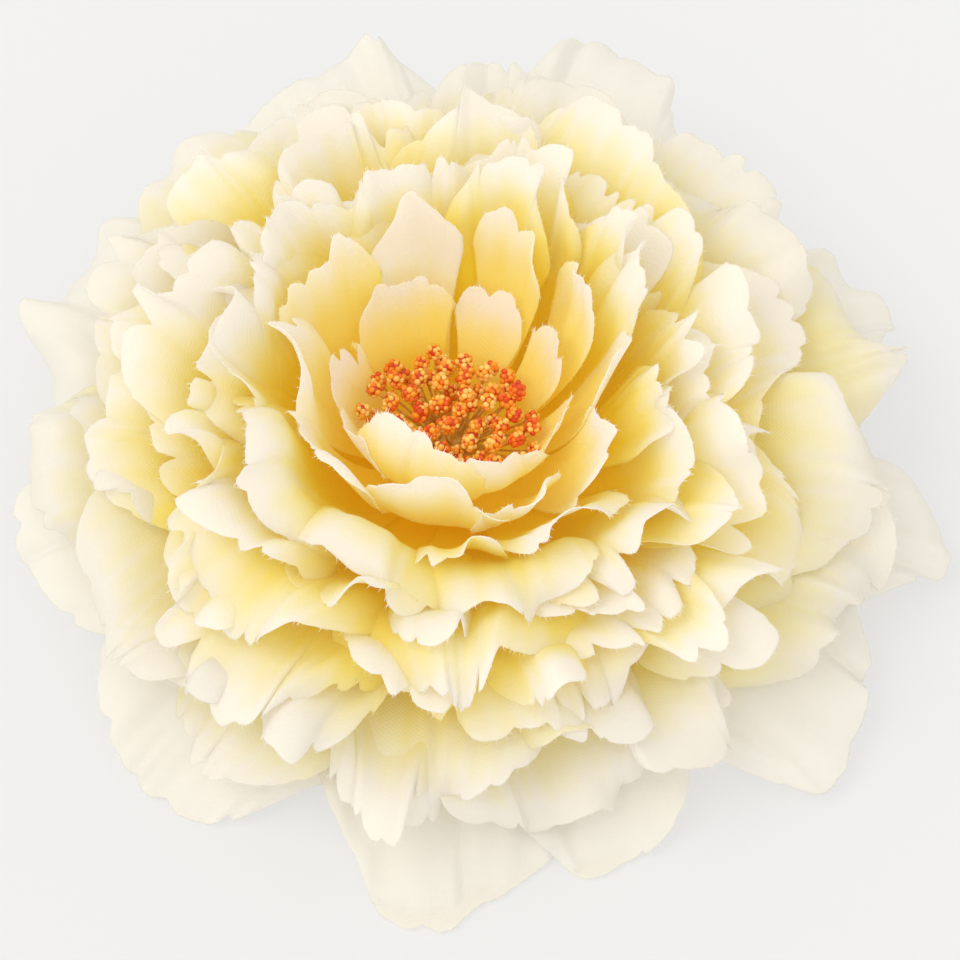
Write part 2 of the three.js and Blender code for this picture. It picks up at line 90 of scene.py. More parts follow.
# %% The layers and their petals
LOWEST_HUB_Z, HUB_PITCH = 14, 1.25
INNER_HUB_R, HUB_STEP_R, ROOT_SINK = 5.5, 0.95, 1.5
ROOT_REACH, TIP_REACH = 0.4, 0.35
FOLD = dict(count=3, phase=0.7, step=0.6, start=1.4)
WAVE = dict(count=9, phase=2.1, step=0.55, start=2)
# tip: radius and height of an average tip. rise: slopes at the root and at the tip, in degrees.
# lean: by how many degrees the layer opens wider, and towards which azimuth.
# widest: the share of the arc where a petal has its full width. lively: how much its rim ruffles.
# petals: azimuth, length share, width, lip, twist, roll angle and roll length of the rim, opening
# in degrees (above 0 stands more upright), and how lively this petal is beside its layer.
LAYERS = [
    dict(node="petals_8_guard", tip=(67, 16), rise=(-3, -14), lean=(15, -80), ruffle=(1.6, 0.6),
         claw=0.14, round=0.34, widest=0.62, lively=0.5, petals=[
        (-90, 1.05, 42, 0, 1.5, 0.3, 5, 0, 0.8), (-64, 1.0, 34, 0, 1.5, 0.3, 5, 0, 0.8),
        (-32, 1.1, 44, 0, 1.5, 0.4, 5, 0, 1), (-5, 1.15, 46, 1, 1.5, 0.6, 6, 0, 1),
        (26, 1.1, 46, 0, 1.5, 0.4, 6, 0, 1), (69, 1.19, 48, 1, 1.5, 0.5, 6, 0, 0.8),
        (108, 1.1, 48, 1, 1.5, 0.6, 6, 0, 0.8), (149, 1.11, 56, 0, 1.5, 1.1, 12, -1, 0.2),
        (-167, 0.96, 46, 1, 1.5, 0.6, 6, 0, 1), (-136, 0.99, 50, 1, 1.5, 0.3, 6, 0, 0.8)]),
    dict(node="petals_7", tip=(62, 27), rise=(0, 10), lean=(12, -80), ruffle=(1.8, 1.0),
         claw=0.14, round=0.34, widest=0.7, lively=0.8, petals=[
        (-72, 0.93, 46, 3, 1.5, 1.2, 6, 0, 1.2), (-20, 1.08, 46, 2, 1.5, 1.2, 6, 0, 1),
        (16, 1.13, 42, 1, 1.5, 1.0, 7, 0, 0.8), (48, 1.08, 46, 1, 1.5, 0.8, 7, 0, 0.5),
        (86, 1.06, 44, 2, 1.5, 0.9, 6, 0, 0.8), (128, 1.07, 50, 1, 1.5, 1.2, 9, 0, 0.4),
        (-178, 1.0, 46, 3, 1.5, 1.3, 6, 0, 1), (-127, 0.92, 44, 2, 1.5, 0.5, 7, -2, 0.9)]),
    dict(node="petals_6", tip=(56.5, 35), rise=(1.4, 25), lean=(10, -76), ruffle=(1.8, 1.2),
         claw=0.14, round=0.32, widest=0.74, lively=1.0, petals=[
        (-94, 0.95, 40, 4, 1.5, 1.3, 6, 0, 1.3), (-56, 0.99, 40, 3, 1.5, 1.2, 5, 0, 1.2),
        (-8, 1.09, 44, 2, -1.5, 1.1, 7, 0, 0.8), (34, 1.05, 46, 2, 1.5, 0.7, 8, 0, 0.4),
        (76, 1.06, 42, 2, 1.5, 0.6, 6, 0, 0.6), (116, 1.03, 40, 3, 1.5, 0.8, 6, -1.8, 0.4),
        (158, 1.02, 44, 3, 1.5, 1.0, 7, 0, 1), (-147, 1.0, 48, 4, 1.5, 1.3, 7, 0, 1.2)]),
    dict(node="petals_5", tip=(50, 42), rise=(3, 40), lean=(8.5, -66), ruffle=(1.8, 1.2),
         claw=0.14, round=0.3, widest=0.78, lively=1.0, petals=[
        (-68, 0.9, 40, 5, 1.5, 1.2, 6, 1.5, 1.3), (-26, 0.99, 38, 3, 1.5, 1.2, 6, 0, 1),
        (14, 0.98, 44, 2, 1.5, 0.8, 8, -2, 0.5), (58, 1.06, 44, 2, 1.5, 0.5, 6, -1, 0.4),
        (100, 1.02, 34, 3, 1.5, 0.6, 6, 0, 0.6), (138, 1.05, 38, 3, -2, 0.9, 6, 1.5, 0.7),
        (176, 1.0, 40, 4, 1.5, 1.0, 7, 0, 0.8), (-131, 0.97, 44, 5, 1.5, 1.7, 8, 4, 1.3)]),
    dict(node="petals_4", tip=(42.5, 47.5), rise=(3.4, 54), lean=(7.5, -54), ruffle=(1.5, 1.2),
         claw=0.15, round=0.28, widest=0.78, lively=1.1, petals=[
        (-87, 0.97, 44, 3, 1.5, 2.0, 8, 4, 1.2), (-50, 0.94, 30, 3, 1.5, 0.8, 4, 0, 1.2),
        (-18, 0.97, 28, 2, -3, 0.5, 4, 2, 1.2), (12, 0.99, 30, 2, 3, 0.5, 4, 0, 1),
        (44, 0.97, 34, 2, 1.5, 0.6, 5, 0, 0.6), (84, 1.03, 32, 3, 2, 0.4, 5, 0, 0.7),
        (122, 1.0, 34, 3, -2, 0.7, 5, 0, 1), (160, 1.02, 34, 4, 2, 1.0, 6, 2, 1),
        (-134, 0.98, 38, 5, 1.5, 1.9, 8, 7, 1.2)]),
    dict(node="petals_3", tip=(33.5, 51), rise=(6.4, 71), lean=(6.5, -46), ruffle=(1.0, 1.0),
         claw=0.16, round=0.26, widest=0.78, lively=1.1, petals=[
        (-110, 0.93, 30, 3, 1, 1.8, 7, 8, 0.8), (-76, 0.93, 30, 3, 1, 1.9, 7, 7, 1),
        (-46, 0.96, 26, 3, 1, 1.3, 5, 0, 1), (-18, 0.96, 20, 1, -4, 0.3, 4, 2, 1),
        (10, 0.94, 20, 0, 4, 0.2, 4, 0, 1), (38, 1.0, 18, 0, 4, 0.2, 4, 0, 0.8),
        (68, 1.02, 22, 1, 2, 0.3, 4, 0, 0.8), (102, 1.0, 26, 2, -2, 0.4, 4, 0, 0.8),
        (138, 1.03, 26, 2, 2, 0.6, 5, 0, 0.7), (172, 0.98, 26, 3, 2, 1.4, 6, 5, 0.8),
        (-148, 0.97, 28, 3, 1, 1.9, 7, 8, 0.8)]),
    dict(node="petals_2", tip=(24.5, 51.5), rise=(8.4, 88), lean=(2, -40), ruffle=(0.7, 0.7),
         claw=0.2, round=0.26, widest=0.78, lively=0.8, paler={6: 0.24}, petals=[
        (-98, 0.96, 24, 0, 0.8, 0.3, 3, 5, 0.7), (-62, 0.86, 18, 0, -1.5, 0.2, 3, 4, 1),
        (-30, 0.92, 18, 0, -4, 0.2, 3, 0, 1), (2, 0.92, 16, 0, 4, 0.1, 3, 0, 0.8),
        (32, 0.98, 15, 0, 4, 0.1, 3, 2, 0.7), (64, 1.0, 14, 0, 4, 0.1, 3, 2, 0.7),
        (104, 1.14, 15, -2, 1, 0.1, 3, 0, 0.4), (142, 1.04, 18, 1, 2, 0.3, 3, 2, 0.7),
        (178, 0.96, 18, 1, 1, 0.8, 4, 5.5, 1), (-140, 0.92, 20, 1, 0.8, 1.0, 4, 6, 1)]),
    dict(node="petals_1_inner", tip=(17, 45), rise=(22, 104), lean=(-4, -90), ruffle=(0.3, 0.3),
         claw=0.24, round=0.3, widest=0.7, lively=0.3, petals=[
        (-112, 1.12, 22, -1, 2, 0.1, 3, 2, 0.6), (-66, 0.94, 18, -1, 1.5, 0.1, 3, 2, 1),
        (-12, 0.78, 12, 0, 1.5, 0.1, 3, -1, 1), (28, 0.86, 12, 0, 1.5, 0.1, 3, -1, 1),
        (68, 0.8, 13, 0, 0.5, 0.1, 3, 0, 1), (117, 0.93, 18, 0, 0.5, 0.1, 3, 0, 1),
        (164, 0.8, 14, 0, 0.5, 0.1, 3, 0, 1), (-152, 0.8, 14, 0, 0.5, 0.1, 3, 2, 1)]),
]


def set_up(layer, number):
    layer["number"] = number
    layer["root_r"] = INNER_HUB_R + HUB_STEP_R * (len(LAYERS) - 1 - number) - ROOT_SINK
    layer["z"] = LOWEST_HUB_Z + HUB_PITCH * number
    layer["chord"] = math.hypot(layer["tip"][0] - layer["root_r"], layer["tip"][1] - layer["z"])


for number, layer in enumerate(LAYERS):
    set_up(layer, number)
print("petals in each layer:", [len(layer["petals"]) for layer in LAYERS])

# %% [markdown]
# Between two layers the maker tucks narrow petals in, so that no gap shows and the rim looks full.
# They follow an arc halfway between the two, and everything else about them is left to chance. The
# broad petals at the right back stay free, as they show their full face.

# %% The tucked petals
TUCKED_COUNTS = [0, 9, 10, 11, 12, 9, 0]
FIRST_AZIMUTH, ASTRAY = -175, 12
FREE_FROM, FREE_TO, FREE_BELOW = -5, 62, 4


def tucked_between(lower, upper, count):
    tucked = dict(node=lower["node"], petals=[])
    for key in ("tip", "rise", "lean", "ruffle"):
        tucked[key] = tuple((a + b) / 2 for a, b in zip(lower[key], upper[key]))
    for key in ("claw", "round", "widest", "lively"):
        tucked[key] = (lower[key] + upper[key]) / 2
    set_up(tucked, lower["number"] + 0.5)
    for n in range(count):
        own = [draw(tucked["number"], n, k) for k in range(20, 28)]
        azimuth = FIRST_AZIMUTH + 360 / count * n + mix(-ASTRAY, ASTRAY, own[0])
        if FREE_FROM < azimuth < FREE_TO and tucked["number"] < FREE_BELOW:
            continue
        length, width, lip = mix(0.9, 1.02, own[1]), mix(14, 24, own[2]), mix(0, 2.5, own[3])
        twist, roll, roll_length = mix(-3, 3, own[4]), mix(0.2, 1.2, own[5]), mix(4, 7, own[6])
        opening, lively = mix(-1, 2, own[7]), 0.9
        tucked["petals"].append(
            (azimuth, length, width, lip, twist, roll, roll_length, opening, lively))
    return tucked


TUCKED = [tucked_between(lower, upper, count)
          for lower, upper, count in zip(LAYERS, LAYERS[1:], TUCKED_COUNTS)
          if count]
print("tucked petals between layers:", [len(tucked["petals"]) for tucked in TUCKED])

# %% [markdown]
# ## The shape of one petal
# The arc is a cubic curve in the half-plane of one azimuth. It could be drawn by hand for each
# petal, but one formula keeps the layers nested when a size changes.

# %% The arc of a petal
def arc_at(layer, azimuth, share, opening=0):
    lean, towards = (math.radians(degrees) for degrees in layer["lean"])
    lean = opening - lean * np.cos(azimuth - towards)
    root_r, root_z, chord = layer["root_r"], layer["z"], layer["chord"]
    heading = math.atan2(layer["tip"][1] - root_z, layer["tip"][0] - root_r) + lean
    start = math.radians(layer["rise"][0]) + lean / 2
    end = math.radians(layer["rise"][1]) + lean
    tip_r, tip_z = root_r + chord * np.cos(heading), root_z + chord * np.sin(heading)
    corners = [
        (root_r, root_z),
        (root_r + ROOT_REACH * chord * np.cos(start), root_z + ROOT_REACH * chord * np.sin(start)),
        (tip_r - TIP_REACH * chord * np.cos(end), tip_z - TIP_REACH * chord * np.sin(end)),
        (tip_r, tip_z),
    ]
    rest = 1 - share
    weights = [rest**3, 3 * rest**2 * share, 3 * rest * share**2, share**3]
    slopes = [-3 * rest**2, 3 * rest**2 - 6 * rest * share, 6 * rest * share - 3 * share**2,
              3 * share**2]
    r = sum(w * c[0] for w, c in zip(weights, corners))
    z = sum(w * c[1] for w, c in zip(weights, corners))
    along_r = sum(s * c[0] for s, c in zip(slopes, corners))
    along_z = sum(s * c[1] for s, c in zip(slopes, corners))
    speed = np.hypot(along_r, along_z)
    return r, z, along_z / speed, -along_r / speed


# %% [markdown]
# The sheet stands off its arc by two sets of ruffles that pass on from layer to layer. Both wander
# to and fro on their way round, or the bloom would look as regular as a cog.

# %% The ruffles that nest
# size, count round the bloom, phase, and step from layer to layer
WANDER = [(1.3, 2, 1.1, 0.2), (0.9, 5, 0, 0.4)]


def ruffle_at(layer, azimuth, share):
    grown, total = np.maximum(0, share), 0
    for height, kind in zip(layer["ruffle"], (FOLD, WAVE)):
        wander = 0
        for size, count, phase, step in WANDER:
            wander = wander + size * np.sin(count * azimuth + phase + step * layer["number"])
        angle = kind["count"] * azimuth + kind["phase"] + kind["step"] * layer["number"]
        total = total + height * grown ** kind["start"] * np.sin(angle + wander)
    return total


# %% [markdown]
# The die cuts the rim into uneven round tabs, and some of the cuts between them run deeper. Once
# cut, each tab flutters a little by itself. A texture could fake the cuts, but then the shadow and
# the outline would stay smooth, so they are in the mesh.

# %% The cut of the rim
TAB_REACH, TAB_SLANT, TAB_STEP, TAB_FLUTTER = (0.5, 1.2), 0.7, (-0.5, 0.4), 0.17
NOTCH_CHANCE, NOTCH_HALF_WIDTH, NOTCH_REACH, NOTCH_LIMIT = 0.3, (0.7, 2.0), (0.6, 2.6), 3.2


def cut_of_rim(rng, x, width, tab, depth):
    """At each place x: how far the cut reaches past its outline, and how its tabs flutter."""
    edges = [-width / 2]
    while edges[-1] < width / 2:
        edges.append(edges[-1] + rng.uniform(*tab))
    cut, flutter = np.zeros_like(x), np.zeros_like(x)
    for left, right in zip(edges, edges[1:]):
        t = np.clip((x - left) / (right - left), 0, 1)
        inside = (x >= left) & (x < right)
        bulge = (4 * t * (1 - t)) ** 0.5 * rng.uniform(*TAB_REACH)
        step = rng.uniform(-TAB_SLANT, TAB_SLANT) * (t - 0.5) + rng.uniform(*TAB_STEP)
        cut = np.where(inside, depth * (bulge + step), cut)
        lifted = np.sin(math.pi * t) * rng.uniform(-1, 1) * (right - left) * TAB_FLUTTER
        flutter = flutter + inside * lifted
        if rng.uniform() < NOTCH_CHANCE:
            notch = np.clip(1 - np.abs(x - left) / rng.uniform(*NOTCH_HALF_WIDTH), 0, 1)
            cut = cut - min(NOTCH_LIMIT, depth * rng.uniform(*NOTCH_REACH)) * notch
    return cut, flutter


# %% [markdown]
# A petal is a grid of points: rows from the hub to the rim, closer together near the rim, and
# columns across. Three kinds of rim are enough: the guard petals are cut shallow and lie flat, the
# small inner ones are cut fine, and those between are the raggedest.

# %% The flat cut of a petal
ROWS, CROWDED = 24, 1.7
COLUMN_WIDTH, FEWEST_COLUMNS, MOST_COLUMNS = 0.42, 36, 116
INNER_FROM, NARROW = 6, 25
RIM_KINDS = dict(
    guard=dict(tab=(3, 8), depth=0.8, crumpled=1, flutter=0.4),
    middle=dict(tab=(1.8, 6.5), depth=1.6, crumpled=1, flutter=1),
    inner=dict(tab=(2.2, 5), depth=1.2, crumpled=0.7, flutter=0.6))
RIM_POWER, LOBE_DEPTH, CLAW_POWER, FRAY = 2.6, 0.04, 1.15, 0.13


def rim_kind(layer):
    number = layer["number"]
    return RIM_KINDS["guard" if number == 0 else "inner" if number >= INNER_FROM else "middle"]


def flat_cut(layer, rng, own, length, width, ragged):
    """Rows and columns of the grid, the arc share that each reaches, and how its tabs flutter."""
    kind = rim_kind(layer)
    columns = int(np.clip(width / COLUMN_WIDTH, FEWEST_COLUMNS, MOST_COLUMNS))
    up, across = np.meshgrid(1 - np.linspace(1, 0, ROWS + 1) ** CROWDED,
                             np.linspace(-1, 1, columns + 1), indexing="ij")
    x = across * width / 2
    lobes, turned = mix(3, 5.5, own[1]), 2 * math.pi * own[2]
    outline = 1 - layer["round"] * np.abs(across) ** RIM_POWER
    outline = outline + LOBE_DEPTH * np.sin(lobes * across + turned)
    cut, flutter = cut_of_rim(rng, x[0], width, kind["tab"], kind["depth"] * ragged)
    cut = cut + rng.uniform(-FRAY, FRAY, columns + 1)
    share = up * length * outline + up**8 * cut / layer["chord"]
    return up, across, x, outline, share, flutter


# %% [markdown]
# Then the flat cut is shaped. The petal swings in and out across its width, like a meander, its
# lip turns outwards, and its rim rolls over the last millimetres, as it does when it is drawn over
# the back of a knife. Pressed creases run up it, and soft crumples cover the rest.

# %% One petal as a grid of points
LIP_FROM, RIM_WAVES, RIM_WANDER, ROLL_WAVES = 0.62, (9, 13), (26,), (19, 12)
CREASES, CREASE_HEIGHT, CREASE_WIDTH, CREASE_SLANT = (3, 7), 0.45, (0.7, 1.3), 5
# height of the crumples, how much they stretch along the petal, and their wave lengths
CRUMPLES = [(0.5, 0.5, (13, 8)), (0.2, 0.2, (5, 3.4))]
LOWEST_Z, DYE_BY_HAND = 0.9, 0.04


def rolled_rim(rng, x, inwards, roll, roll_length):
    """How far the rolled rim stands out, and how much it draws the petal in."""
    bend = roll * np.clip(0.8 + 0.45 * soft_waves(rng, x, 0 * x, ROLL_WAVES, 2), 0.1, 1.5) + 1e-3
    into = np.maximum(0, 1 - inwards / roll_length)
    radius = roll_length / bend
    return radius * (1 - np.cos(bend * into)), roll_length * into - radius * np.sin(bend * into)


def petal_grid(layer, place, rng):
    (azimuth0, length, width, lip, twist,
     roll, roll_length, opening, lively) = layer["petals"][place]
    own = [draw(layer["number"], place, n) for n in range(7)]
    azimuth0, opening = math.radians(azimuth0), math.radians(opening + mix(-1.5, 1.5, own[6]))
    ragged = min(1.1, 0.35 + 0.65 * lively)
    lively = lively * layer["lively"]
    up, across, x, outline, share, flutter = flat_cut(layer, rng, own, length, width, ragged)
    grown = np.maximum(0, share)
    spread = mix(layer["claw"], 1, np.minimum(1, grown / layer["widest"]) ** CLAW_POWER)
    middle_r = arc_at(layer, azimuth0, share, opening)[0]
    # the swing across the petal, out and sideways
    waves, turn = mix(0.8, 1.7, own[3]), 2 * math.pi * own[4]
    swing = math.pi * waves * across + turn + 0.5 * np.sin(2.3 * across + turn)
    height = lively * mix(2.2, 3.6, own[5]) * min(1, width / 36)
    sideways = 0.07 * width / waves * lively * grown**3
    azimuth = azimuth0 + (x * spread - sideways * np.sin(2 * swing)) / middle_r
    inwards = (length * outline - share) * layer["chord"]
    rolled_out, rolled_back = rolled_rim(rng, x, inwards, roll, roll_length)
    at = share - rolled_back / layer["chord"]
    r, z, out_r, out_z = arc_at(layer, azimuth, at, opening)
    out = ruffle_at(layer, azimuth, at) + twist * grown**1.5 * across
    out = out + lip * np.clip((up - LIP_FROM) / (1 - LIP_FROM), 0, 1) ** 2 * (1 - across**2)
    out = out + height * grown**3 * np.sin(swing)
    rim_ruffle = soft_waves(rng, x, 0 * x, RIM_WAVES, 2)
    rim_ruffle = rim_ruffle * (1 + 0.7 * soft_waves(rng, x, 0 * x, RIM_WANDER, 2))
    out = out + lively * rng.uniform(0.6, 1.3) * grown**6 * rim_ruffle
    for _ in range(rng.integers(*CREASES)):
        middle = rng.uniform(-0.85, 0.85) * width / 2
        slant = rng.uniform(-CREASE_SLANT, CREASE_SLANT)
        off = (x - middle - slant * (up - 0.7)) / rng.uniform(*CREASE_WIDTH)
        out = out + rng.uniform(-CREASE_HEIGHT, CREASE_HEIGHT) * grown**2 * np.exp(-off**2)
    kind, size = rim_kind(layer), layer["chord"] * length
    for crumple, stretch, lengths in CRUMPLES:
        crumple = kind["crumpled"] * grown**2 * crumple
        out = out + crumple * soft_waves(rng, x, stretch * up * size, lengths)
    fluttering = min(kind["flutter"], 0.6 if width < NARROW else 1)
    out = out + fluttering * ragged * up**6 * flutter + rolled_out
    r, z = r + out * out_r, np.maximum(z + out * out_z, LOWEST_Z)
    points = np.stack([r * np.cos(azimuth), r * np.sin(azimuth), z], -1)
    paler = layer.get("paler", {}).get(place, 0)
    paler = paler + mix(-DYE_BY_HAND, DYE_BY_HAND, draw(layer["number"], place, 8))
    rise = np.clip(share / length + paler, 0, 1)
    return points, rise, np.stack([x * spread, up * size], -1)


# %% [markdown]
# ## From grids to cloth
# The grids of a layer become one mesh. Each point keeps how far up the petal it is, for the dye,
# and its place on the flat cloth as a UV map, for the weave. Points on the cut edge also keep the
# way in which a loose thread leaves them.

# %% Make a layer's mesh
def edge_of(grid):
    """Which points lie on the cut edge, and which way a loose thread leaves there."""
    on_edge, leaving = np.zeros(grid.shape[:2]), np.zeros_like(grid)
    for column, inner in ((0, 1), (-1, -2)):
        on_edge[ROWS // 2:, column] = 1
        leaving[:, column] = grid[:, column] - grid[:, inner]
    on_edge[-1], leaving[-1] = 1, grid[-1] - grid[-2]
    return on_edge, leaving


def store(mesh, name, kind, values):
    field = "vector" if kind == "FLOAT_VECTOR" else "value"
    attribute = mesh.attributes.new(name, kind, "POINT")
    attribute.data.foreach_set(field, np.concatenate(values).astype(np.float32).ravel())


def layer_mesh(layer):
    points, rises, cloth, edges, leavings, faces = [], [], [], [], [], []
    for place in range(len(layer["petals"])):
        rng = np.random.default_rng(round(100 * layer["number"]) + place)
        grid, rise, flat = petal_grid(layer, place, rng)
        on_edge, leaving = edge_of(grid)
        rows, columns = rise.shape
        first = sum(len(p) for p in points)
        corner = first + (np.arange(rows - 1)[:, None] * columns + np.arange(columns - 1)).ravel()
        faces.append(np.stack([corner, corner + 1, corner + columns + 1, corner + columns], -1))
        points.append(grid.reshape(-1, 3))
        rises.append(rise.ravel())
        cloth.append(flat.reshape(-1, 2))
        edges.append(on_edge.ravel())
        leavings.append(leaving.reshape(-1, 3))
    mesh = bpy.data.meshes.new(layer["node"] + "_silk")
    faces = np.concatenate(faces)
    mesh.from_pydata((np.concatenate(points) * MM).tolist(), [], faces.tolist())
    store(mesh, "rise", "FLOAT", rises)
    store(mesh, "on_edge", "FLOAT", edges)
    store(mesh, "leaving", "FLOAT_VECTOR", leavings)
    loops = np.zeros(len(mesh.loops), np.int32)
    mesh.loops.foreach_get("vertex_index", loops)
    uv = mesh.uv_layers.new(name="cloth")
    uv.data.foreach_set("uv", np.concatenate(cloth)[loops].ravel().astype(np.float32))
    mesh.polygons.foreach_set("use_smooth", [True] * len(faces))
    return mesh


# %% [markdown]
# ## The finishes
# Every finish is a node tree that is built here, so it can be read and changed. One helper makes
# an empty tree, one adds a node and links it, and short ones do sums, noise and colour ramps.

# %% Helpers for node trees
def new_tree(kind, name, inputs, outputs):
    """An empty node tree with named inputs and outputs, and its first and last node."""
    tree = bpy.data.node_groups.new(name, kind)
    for label, socket_type, value in inputs:
        socket = tree.interface.new_socket(name=label, in_out="INPUT", socket_type=socket_type)
        if value is not None:
            socket.default_value = value
    for label, socket_type in outputs:
        tree.interface.new_socket(name=label, in_out="OUTPUT", socket_type=socket_type)
    return tree, tree.nodes.new("NodeGroupInput"), tree.nodes.new("NodeGroupOutput")


def add(tree, kind, values=(), **settings):
    """Add a node, set it up, and link or fill its inputs, by name or by number."""
    node = tree.nodes.new(kind)
    for name, value in settings.items():
        setattr(node, name, value)
    for name, value in dict(values).items():
        if isinstance(value, bpy.types.NodeSocket):
            tree.links.new(value, node.inputs[name])
        else:
            node.inputs[name].default_value = value
    return node


def calculate(tree, operation, first, second=0.0):
    return add(tree, "ShaderNodeMath", {0: first, 1: second}, operation=operation).outputs[0]


def noise(tree, place, scale, detail):
    return add(tree, "ShaderNodeTexNoise",
               {"Vector": place, "Scale": scale, "Detail": detail}).outputs["Fac"]


def ramp(tree, factor, stops):
    """A colour ramp through these (position, colour) stops."""
    node = add(tree, "ShaderNodeValToRGB", {0: factor})
    elements = node.color_ramp.elements
    while len(elements) < len(stops):
        elements.new(1)
    for element, (position, colour) in zip(elements, stops):
        element.position = position
        element.color = (*colour, 1)
    return node.outputs[0]


# %% [markdown]
# The dye goes on with a brush, from the root up. It climbs in streaks along the weave, and it
# leaves blots. The colours are a ramp over the height on the petal, moved by both. The ramp looks
# pale at the root, because light that bounces between the petals deepens it to gold. A second ramp
# gives the tone of a painted glow, golden at the root and pale at the rim. This glow is painted
# bounce light: it stands for the light that goes on bouncing in thin cloth long after the render
# has stopped counting.

# %% The dye and the painted glow
DYE = [(0.0, (0.995, 0.77, 0.012)), (0.52, (0.995, 0.83, 0.045)), (0.73, (0.995, 0.895, 0.23)),
       (0.86, (0.994, 0.945, 0.62)), (0.97, (0.992, 0.972, 0.9))]
# the tones of the painted glow, an emission that stands for light bouncing between the petals
PAINTED_GLOW = [(0.0, (1, 0.5, 0.025)), (0.5, (1, 0.57, 0.07)), (0.75, (1, 0.7, 0.33)),
        (0.92, (1, 0.82, 0.66))]


def brushed_dye_and_painted_glow():
    tree, start, end = new_tree(
        "ShaderNodeTree", "brushed_dye_and_painted_glow",
        [("Strength", "NodeSocketFloat", 1.0), ("Rim", "NodeSocketFloat", 0.0),
         ("Blots", "NodeSocketFloat", 0.08), ("Streaks", "NodeSocketFloat", 0.14)],
        [("Color", "NodeSocketColor"), ("Painted Glow", "NodeSocketColor")])
    rise = add(tree, "ShaderNodeAttribute", attribute_name="rise").outputs["Fac"]
    place = add(tree, "ShaderNodeTexCoord").outputs["Object"]
    cloth = add(tree, "ShaderNodeUVMap", uv_map="cloth").outputs[0]
    drawn = add(tree, "ShaderNodeVectorMath", {0: cloth, 1: (0.45, 0.05, 1)},
                operation="MULTIPLY")
    moved = rise
    for uneven, amount in ((noise(tree, place, 160, 1), "Blots"),
                           (noise(tree, drawn.outputs[0], 1, 1), "Streaks")):
        centred = calculate(tree, "SUBTRACT", uneven, 0.5)
        drift = calculate(tree, "MULTIPLY", centred, start.outputs[amount])
        moved = calculate(tree, "ADD", moved, drift)
    below = calculate(tree, "SUBTRACT", 1.0, moved)
    below = calculate(tree, "MULTIPLY", below, start.outputs["Strength"])
    below = calculate(tree, "ADD", below, start.outputs["Rim"])
    height = calculate(tree, "SUBTRACT", 1.0, below)
    tree.links.new(ramp(tree, height, DYE), end.inputs["Color"])
    # the second ramp colours the painted glow, which is painted bounce light
    tree.links.new(ramp(tree, height, PAINTED_GLOW), end.inputs["Painted Glow"])
    return tree


BRUSHED_DYE_AND_PAINTED_GLOW = brushed_dye_and_painted_glow()

# %% [markdown]
# Silk is a plain weave, one thread over and one under. Two sine waves on the flat cloth's own
# coordinates, one for each thread direction, multiply to that chequer of small hills.

# %% The weave
def plain_weave():
    tree, start, end = new_tree(
        "ShaderNodeTree", "plain_weave",
        [("Pitch", "NodeSocketFloat", 0.34)], [("Height", "NodeSocketFloat")])
    cloth = add(tree, "ShaderNodeUVMap", uv_map="cloth").outputs[0]
    parts = add(tree, "ShaderNodeSeparateXYZ", {0: cloth})
    waves = []
    for axis in parts.outputs[:2]:
        turn = calculate(tree, "DIVIDE", axis, start.outputs["Pitch"])
        turn = calculate(tree, "MULTIPLY", turn, math.pi)
        waves.append(calculate(tree, "SINE", turn))
    tree.links.new(calculate(tree, "MULTIPLY", *waves), end.inputs["Height"])
    return tree


PLAIN_WEAVE = plain_weave()


# %% [markdown]
# The silk mixes a soft reflecting surface with a translucent one, because thin cloth lights up
# where light falls on its back. Both share the dye and the weave. The dye is strongest in the
# rings between the heart and the outer petals, and the guard petals have next to none. The surface
# also gives off the painted glow. The deeper a layer lies, the stronger this glow is, as painted
# light for the hollows.

# %% The silk
THREAD_HEIGHT = 0.00006


def new_material(name):
    material = bpy.data.materials.new(name)
    material.use_nodes = True
    material.node_tree.nodes.clear()
    return material, material.node_tree, material.node_tree.nodes.new("ShaderNodeOutputMaterial")


def silk(name, strength, rim, see_through, painted_glow):
    material, tree, output = new_material(name)
    dye_and_painted_glow = add(tree, "ShaderNodeGroup", node_tree=BRUSHED_DYE_AND_PAINTED_GLOW)
    dye_and_painted_glow.inputs["Strength"].default_value = strength
    dye_and_painted_glow.inputs["Rim"].default_value = rim
    weave = add(tree, "ShaderNodeGroup", node_tree=PLAIN_WEAVE)
    bump = add(tree, "ShaderNodeBump",
               {"Strength": 0.25, "Distance": THREAD_HEIGHT, "Height": weave.outputs["Height"]})
    cloth = {"Color": dye_and_painted_glow.outputs["Color"], "Normal": bump.outputs["Normal"]}
    # the emission is a painted glow, painted light in place of the bounces the render leaves out
    front = add(tree, "ShaderNodeBsdfPrincipled",
                {"Base Color": cloth["Color"], "Normal": cloth["Normal"],
                 "Roughness": 0.55,
                 "Emission Color": dye_and_painted_glow.outputs["Painted Glow"], "Emission Strength": painted_glow})
    through = add(tree, "ShaderNodeBsdfTranslucent", cloth)
    both = add(tree, "ShaderNodeMixShader",
               {0: see_through, 1: front.outputs[0], 2: through.outputs[0]})
    tree.links.new(both.outputs[0], output.inputs["Surface"])
    return material


# strength of the dye, how far it reaches into the rim, share of light let through, and strength of
# the painted glow
SILK_HEART = silk("silk_heart", 0.8, -0.02, 0.5, 0.26)
SILK_INNER = silk("silk_inner", 1.3, -0.01, 0.5, 0.19)
SILK_OUTER = silk("silk_outer", 0.86, -0.02, 0.5, 0.13)
SILK_GUARD = silk("silk_guard", 0.16, -0.01, 0.45, 0.06)
SILKS = [SILK_GUARD] + [SILK_OUTER] * 2 + [SILK_INNER] * 3 + [SILK_HEART] * 2
print("finishes of the silk, from the outside in:", [material.name for material in SILKS])

